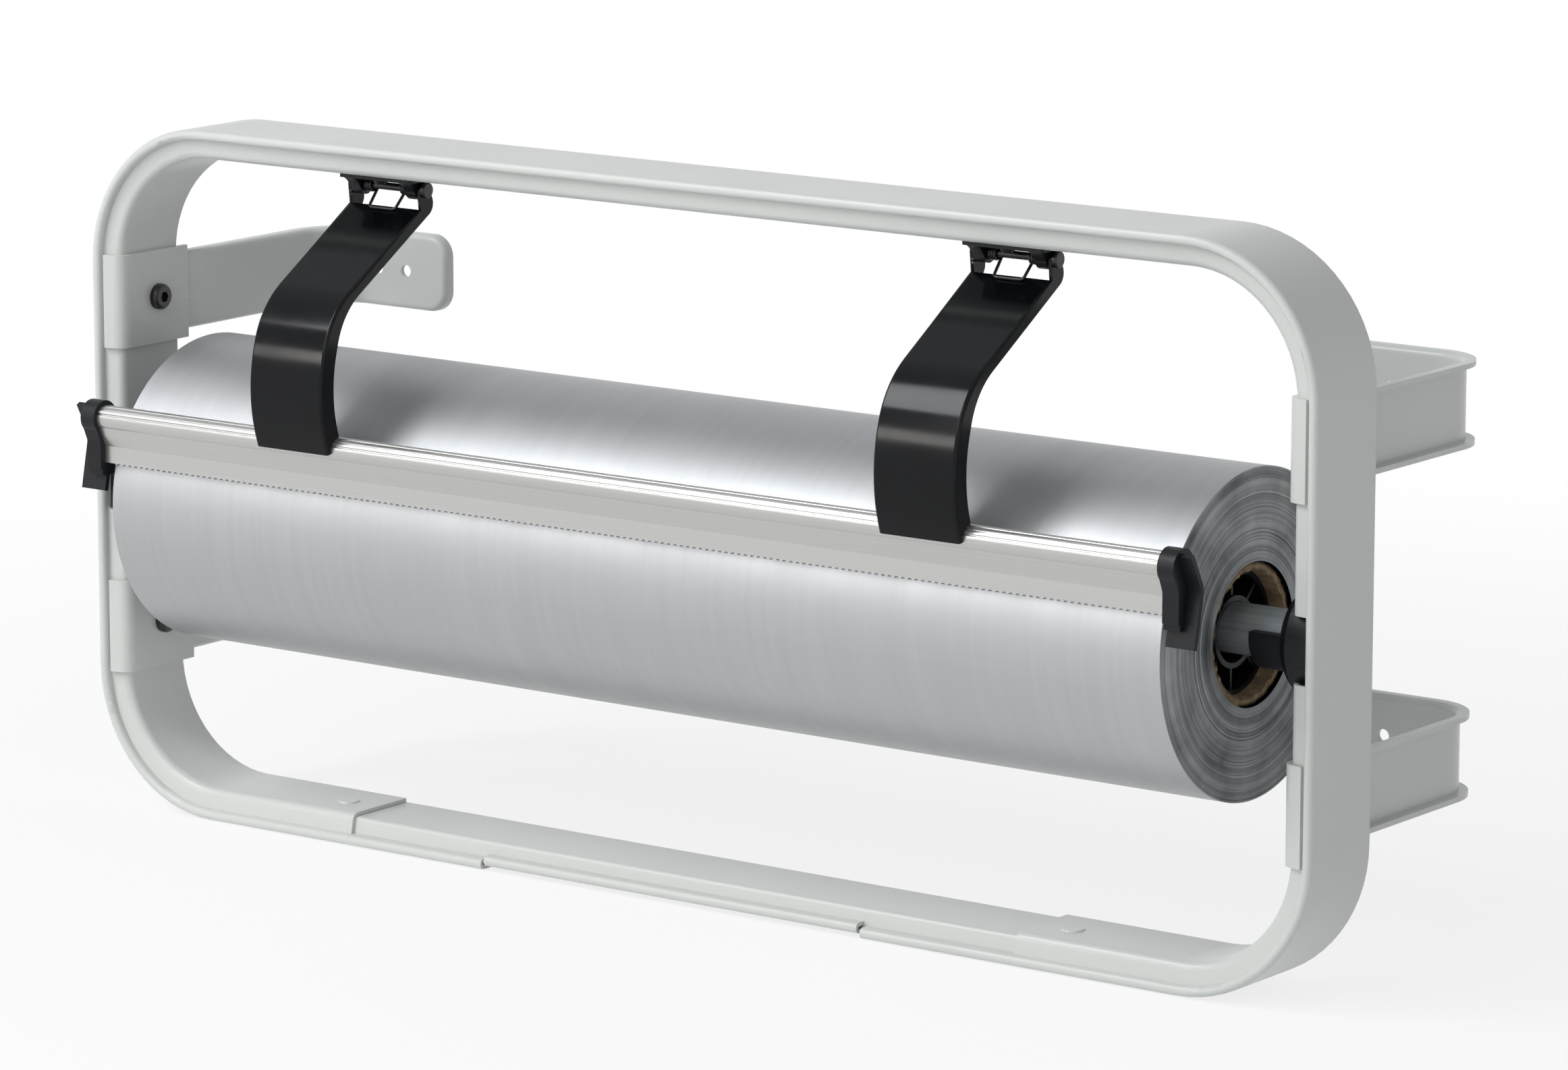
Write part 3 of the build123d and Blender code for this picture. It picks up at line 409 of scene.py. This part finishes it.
# %% Zinc
zinc = finish("zinc", (0.56, 0.62, 0.66), 0.32, metallic=0.7)
zinc_lines = noise(zinc, 60.0, stretch=(0.25, 12.0, 12.0), detail=2.0)
tint(zinc, zinc_lines, (0.48, 0.54, 0.58), (0.64, 0.70, 0.74))
vary_roughness(zinc, noise(zinc, 70.0), 0.28, 0.36)
dress(zinc, "shaft", "bracket_nuts", "hinge_nuts")

# %% Aluminium
aluminium = finish("aluminium", (0.52, 0.52, 0.51), 0.30, metallic=0.85)
die_lines = noise(aluminium, 50.0, stretch=(0.01, 30.0, 30.0), detail=1.0)
tint(aluminium, die_lines, (0.505, 0.505, 0.495), (0.535, 0.535, 0.525))
vary_roughness(aluminium, die_lines, 0.28, 0.33)
dress(aluminium, "cutter_bar")

# %% Blade steel
blade_steel = finish("blade_steel", (0.60, 0.61, 0.62), 0.28, metallic=1.0)
blade_lines = noise(blade_steel, 50.0, stretch=(0.05, 40.0, 40.0))
tint(blade_steel, blade_lines, (0.54, 0.55, 0.56), (0.66, 0.67, 0.68))
vary_roughness(blade_steel, blade_lines, 0.22, 0.36)
dress(blade_steel, "cutting_blade")

# %% [markdown]
# ## Pressed arms with rounded bends
# The arms are pressed from sheet, so the bends from the broad web to the side flanges are rounded,
# and light draws a thin line along them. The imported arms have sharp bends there. A copy of each
# packed arm is merged into a closed mesh, its flat triangles are dissolved into whole faces, and
# the long front edges are beveled to the radius of the bend. At the end the normals are weighted by
# the faces' areas, so that the flat web stays flat in the light and only the bends turn it.


# %% Helpers for shaping
def edit(piece):
    """Opens one piece in edit mode and nothing else."""
    if bpy.context.object and bpy.context.object.mode != "OBJECT":
        bpy.ops.object.mode_set(mode="OBJECT")
    bpy.ops.object.select_all(action="DESELECT")
    piece.select_set(True)
    bpy.context.view_layer.objects.active = piece
    bpy.ops.object.mode_set(mode="EDIT")


def take_copy(name, new_name):
    """A piece, open in edit mode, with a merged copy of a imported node's mesh."""
    merge_distance = 0.000002
    flat_angle = math.radians(0.3)
    piece = bpy.data.objects.new(new_name, nodes[name].data.copy())
    bpy.context.scene.collection.objects.link(piece)
    piece.data.materials.clear()
    edit(piece)
    bpy.ops.mesh.select_all(action="SELECT")
    bpy.ops.mesh.remove_doubles(threshold=merge_distance)
    bpy.ops.mesh.dissolve_limited(angle_limit=flat_angle)
    bpy.ops.mesh.select_all(action="DESELECT")
    return piece


def close_edit(piece, smooth_angle=35.0):
    """Leaves edit mode and smooths the surface up to an angle in degrees."""
    bpy.ops.object.mode_set(mode="OBJECT")
    bpy.ops.object.shade_smooth_by_angle(angle=math.radians(smooth_angle))
    bpy.ops.object.modifier_add(type="WEIGHTED_NORMAL")
    weighting = piece.modifiers[-1]
    weighting.keep_sharp = True
    weighting.weight = 100
    bpy.ops.object.modifier_apply(modifier=weighting.name)
    print(piece.name, "faces:", len(piece.data.polygons))


# %% Find and round the arms' bends
press_bend = 0.0013
bend_segments = 4
sharp_from = math.radians(60)
side_margin = 0.00005
eye_height = 0.009
foot_margin = 0.0002
flange_facing = 0.5
front_facing = -0.2


def front_bend(edge, arm_low, arm_high):
    """Tells whether an edge is a sharp bend from the front of the web to a flange."""
    if len(edge.link_faces) != 2 or edge.calc_face_angle(0.0) < sharp_from:
        return False
    middle = (edge.verts[0].co + edge.verts[1].co) / 2
    outside = min(abs(middle.x - arm_low.x), abs(middle.x - arm_high.x)) < side_margin
    web = [face.normal for face in edge.link_faces if abs(face.normal.x) < flange_facing]
    front = any(normal.y < front_facing for normal in web)
    below_eye = middle.z < arm_high.z - eye_height
    above_foot = middle.z > arm_low.z + foot_margin
    return outside and front and below_eye and above_foot


for side in ("right", "left"):
    low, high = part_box(f"press_arm_{side}")
    arm = take_copy(f"press_arm_{side}", f"rounded_arm_{side}")
    shape = bmesh.from_edit_mesh(arm.data)
    bends = [edge for edge in shape.edges if front_bend(edge, low, high)]
    for edge in bends:
        edge.select = True
    print("edges to round:", len(bends))
    bmesh.update_edit_mesh(arm.data)
    bpy.ops.mesh.bevel(
        offset=press_bend, segments=bend_segments, affect="EDGES", clamp_overlap=True
    )
    close_edit(arm)
    arm.data.materials.append(arm_paint)
    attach(arm, "cutter")
    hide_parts(f"press_arm_{side}")

# %% [markdown]
# ## Torsion springs
# Each arm is pressed on the roll by one length of spring wire: a coil on the pin, a leg down to the
# window's edge, a cross bar on the web, and the same back. A wire is easiest to draw as a curve
# with a round bevel, so the helix, the legs and the cross bar are points of one line, which is then
# turned into a mesh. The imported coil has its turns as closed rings, which this piece stands for.

# %% Measures of the springs
wire = 0.0012
coil_radius = 0.00225
coil_inner_end = 0.0071
coil_pitch = 0.00119
coil_end_angle = 6.0 * math.pi
coil_steps = 90
tail_length = 0.0024
bail_half = 0.0066
pin_place = Vector((0.0, -0.120, 0.1238))
bail_place = Vector((0.0, -0.12454, 0.11566))
weld_distance = 0.00001
# The turn from leg to cross bar, as distances from the corner where they would meet.
bend_from = 0.0014
bend_along = 0.0005
bend_across = 0.0003
bend_to = 0.0012


# %% Wind the springs
def coil_point(angle, lead):
    """The place of the wire's middle at an angle round the pin, where the leg leaves at lead."""
    return Vector(
        (
            coil_inner_end + coil_pitch * (angle - lead) / (2.0 * math.pi),
            pin_place.y + coil_radius * math.cos(angle),
            pin_place.z + coil_radius * math.sin(angle),
        )
    )


def spring_line(middle_x):
    """Points along the wire from one tail, round a coil, over the cross bar, to the other tail."""
    down = Vector((0.0, bail_place.y - pin_place.y, bail_place.z - pin_place.z))
    lead = math.atan2(down.z, down.y) + math.acos(coil_radius / down.length)
    half = []
    for step in range(coil_steps + 1):
        angle = coil_end_angle + (lead - coil_end_angle) * step / coil_steps
        half.append(coil_point(angle, lead))
    tail = half[0] + Vector((0.0, 0.0, tail_length))
    corner = Vector((bail_half, bail_place.y, bail_place.z))
    toward = (half[-1] - corner).normalized()
    rounding = [
        corner + bend_from * toward,
        corner + bend_along * toward + Vector((-bend_across, 0.0, 0.0)),
        corner + Vector((-bend_to, 0.0, 0.0)),
    ]
    half = [tail, *half, *rounding]
    other = [Vector((-point.x, point.y, point.z)) for point in reversed(half)]
    return [point + Vector((middle_x, 0.0, 0.0)) for point in half + other]


for side in ("right", "left"):
    low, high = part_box(f"torsion_spring_{side}")
    line = spring_line((low.x + high.x) / 2)
    drawn = bpy.data.curves.new(f"spring_wire_{side}", "CURVE")
    drawn.dimensions = "3D"
    drawn.bevel_depth = wire / 2
    drawn.bevel_resolution = 2
    drawn.use_fill_caps = True
    run = drawn.splines.new("POLY")
    run.points.add(len(line) - 1)
    for point, place in zip(run.points, line):
        point.co = (*place, 1.0)
    spring = bpy.data.objects.new(f"spring_wire_{side}", drawn)
    bpy.context.scene.collection.objects.link(spring)
    bpy.ops.object.select_all(action="DESELECT")
    spring.select_set(True)
    bpy.context.view_layer.objects.active = spring
    bpy.ops.object.convert(target="MESH")
    spring = bpy.context.object
    edit(spring)
    bpy.ops.mesh.select_all(action="SELECT")
    bpy.ops.mesh.remove_doubles(threshold=weld_distance)
    bpy.ops.mesh.normals_make_consistent(inside=False)
    close_edit(spring, 50.0)
    spring.data.materials.append(black_steel)
    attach(spring, "cutter")
    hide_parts(f"torsion_spring_{side}")

# %% [markdown]
# ## Roll of silver paper
# The roll is wound from matte metallic paper. On its ends the edges of the layers show as fine
# rings, some of them sunk deeper where the winding wandered. So the roll is a cylinder whose two
# end faces are inset again and again by small uneven steps, each pushed in by a different hair,
# until the core is reached. The last faces are deleted and their borders bridged, which makes the
# bore.

# %% Start the roll as a cylinder
roll_sides = 192
core_clearance = 0.00006
end_facing = 0.9

roll_low, roll_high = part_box("paper_roll")
roll_middle = (roll_low + roll_high) / 2
roll_radius = (roll_high.z - roll_low.z) / 2
roll_length = roll_high.x - roll_low.x
core_low, core_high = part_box("roll_core")
bore_radius = (core_high.z - core_low.z) / 2 + core_clearance
print("roll in mm:", round(2000 * roll_radius, 1), "x", round(1000 * roll_length, 1))
bpy.ops.object.select_all(action="DESELECT")
bpy.ops.mesh.primitive_cylinder_add(
    vertices=roll_sides,
    radius=roll_radius,
    depth=roll_length,
    location=roll_middle,
    rotation=(0.0, math.pi / 2, 0.0),
)
roll = bpy.context.object
roll.name = "silver_paper_roll"
bpy.ops.object.transform_apply(location=True, rotation=True, scale=True)
edit(roll)
bpy.ops.mesh.select_all(action="DESELECT")
shape = bmesh.from_edit_mesh(roll.data)
for face in shape.faces:
    face.select = abs(face.normal.x) > end_facing
bmesh.update_edit_mesh(roll.data)

# %% Step its ends in, ring by ring
rim_step = 0.0004
ring_least = 0.00030
ring_most = 0.00085
last_ring = 0.0004
sunk_most = 0.00022
loose_share = 0.12
loose_extra = 0.00025

winding = random.Random(7)
bpy.ops.mesh.inset(thickness=rim_step, depth=0.0, use_even_offset=True)
remaining = roll_radius - bore_radius - rim_step
sunk = 0.0
while remaining > 2 * last_ring:
    step = min(winding.uniform(ring_least, ring_most), remaining - last_ring)
    target = winding.uniform(0.0, sunk_most)
    if winding.random() < loose_share:
        target += loose_extra
    bpy.ops.mesh.inset(thickness=step, depth=sunk - target, use_even_offset=True)
    sunk = target
    remaining -= step
bpy.ops.mesh.inset(thickness=remaining, depth=0.0, use_even_offset=True)
shape = bmesh.from_edit_mesh(roll.data)
print("rings on each end:", len(shape.faces) // roll_sides // 2)

# %% Bridge the bore
bpy.ops.mesh.delete(type="FACE")
shape = bmesh.from_edit_mesh(roll.data)
for edge in shape.edges:
    edge.select = edge.is_boundary
bmesh.update_edit_mesh(roll.data)
bpy.ops.mesh.bridge_edge_loops()
bpy.ops.mesh.select_all(action="SELECT")
bpy.ops.mesh.normals_make_consistent(inside=False)
close_edit(roll, 20.0)

# %% [markdown]
# ## Finish of the paper
# The foil side is a matte metal: the lamps lie on it in soft bands, with faint short streaks across
# the roll where the foil was stretched. The ends are cut paper edges, darker and rougher, with fine
# lines that follow the distance from the roll's axis. That distance is the length of the Object
# coordinates once a Mapping node has moved them to the axis and flattened them along X.

# %% Paper
paper = finish("silver_paper", (0.455, 0.465, 0.475), 0.46, metallic=0.92)
streaks = noise(paper, 9.0, stretch=(34.0, 1.1, 1.1), detail=5.0)
tint(paper, streaks, (0.444, 0.455, 0.464), (0.468, 0.478, 0.487))
vary_roughness(paper, noise(paper, 15.0, stretch=(4.0, 1.0, 1.0)), 0.44, 0.49)
relief(paper, noise(paper, 130.0, stretch=(1.6, 1.0, 1.0), detail=2.0), 0.0000035)


# %% Cut paper edges
def ring_noise(tree, distance, scale, detail):
    """A noise that changes only with the distance from the roll's axis."""
    texture = tree.nodes.new("ShaderNodeTexNoise")
    texture.inputs["Scale"].default_value = scale
    texture.inputs["Detail"].default_value = detail
    tree.links.new(distance, texture.inputs["Vector"])
    return texture.outputs["Fac"]


paper_ends = finish("paper_ends", (0.20, 0.205, 0.21), 0.5, metallic=0.35)
tree = paper_ends.node_tree
place = tree.nodes.new("ShaderNodeTexCoord")
to_axis = tree.nodes.new("ShaderNodeMapping")
to_axis.inputs["Location"].default_value = (0.0, -roll_middle.y, -roll_middle.z)
flat = tree.nodes.new("ShaderNodeVectorMath")
flat.operation = "MULTIPLY"
flat.inputs[1].default_value = (0.0, 1.0, 1.0)
length = tree.nodes.new("ShaderNodeVectorMath")
length.operation = "LENGTH"
spread = tree.nodes.new("ShaderNodeCombineXYZ")
tree.links.new(place.outputs["Object"], to_axis.inputs["Vector"])
tree.links.new(to_axis.outputs["Vector"], flat.inputs[0])
tree.links.new(flat.outputs["Vector"], length.inputs[0])
tree.links.new(length.outputs["Value"], spread.inputs["X"])
layers = ring_noise(tree, spread.outputs["Vector"], 1500.0, 2.0)
bands = ring_noise(tree, spread.outputs["Vector"], 330.0, 3.0)
smudges = noise(paper_ends, 45.0, detail=4.0)
rings_and_smudges = combine(tree, "MULTIPLY", combine(tree, "MULTIPLY", layers, bands), smudges)
tint(paper_ends, rings_and_smudges, (0.085, 0.092, 0.10), (0.44, 0.455, 0.47), 0.07, 0.20)
vary_roughness(paper_ends, smudges, 0.40, 0.60)
relief(paper_ends, layers, 0.00012)

# %% Put both finishes on the roll
foil_margin = 0.00005
roll.data.materials.append(paper)
roll.data.materials.append(paper_ends)
for face in roll.data.polygons:
    from_axis = math.hypot(face.center.y - roll_middle.y, face.center.z - roll_middle.z)
    face.material_index = 0 if from_axis > roll_radius - foil_margin else 1
print("foil faces:", sum(face.material_index == 0 for face in roll.data.polygons))
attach(roll, "roll")
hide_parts("paper_roll")

# %% [markdown]
# ## Cardboard core
# The core is a plain brown tube. Its sawn ends lie nearly two millimetres inside the roll and are
# ragged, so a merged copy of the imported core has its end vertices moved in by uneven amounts. They
# are moved in the order of their angle round the tube, so that each run tears them the same way.
# The finish has coarse fibres in its colour and bump.

# %% Shape the core
core_recess = 0.0018
tear_depth = 0.0004
end_from = core_high.x - 0.0001


def around(vertex):
    """Orders vertices by their place along the core and then by their angle."""
    return (round(vertex.co.x, 5), round(math.atan2(vertex.co.z, vertex.co.y), 4))


core = take_copy("roll_core", "ragged_core")
bpy.ops.mesh.select_all(action="SELECT")
bpy.ops.mesh.quads_convert_to_tris()
bpy.ops.mesh.select_all(action="DESELECT")
shape = bmesh.from_edit_mesh(core.data)
for edge in shape.edges:
    edge.select = all(abs(vertex.co.x) > end_from for vertex in edge.verts)
bmesh.update_edit_mesh(core.data)
bpy.ops.mesh.subdivide(number_cuts=1)
shape = bmesh.from_edit_mesh(core.data)
tearing = random.Random(11)
for vertex in sorted(shape.verts, key=around):
    if abs(vertex.co.x) > end_from:
        inward = core_recess + tearing.uniform(-tear_depth, tear_depth)
        vertex.co.x -= math.copysign(inward, vertex.co.x)
bmesh.update_edit_mesh(core.data)
close_edit(core, 30.0)
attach(core, "roll")
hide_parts("roll_core")

# %% Cardboard
cardboard = finish("cardboard", (0.36, 0.25, 0.15), 0.85, specular=0.2)
fibres = noise(cardboard, 260.0, stretch=(0.5, 1.0, 1.0))
tint(cardboard, fibres, (0.24, 0.16, 0.09), (0.46, 0.34, 0.21))
relief(cardboard, noise(cardboard, 900.0), 0.0001)
core.data.materials.append(cardboard)

# %% Write the sizes and finish
low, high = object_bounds()
print("visual size in mm:", [round(1000 * v, 1) for v in high - low])
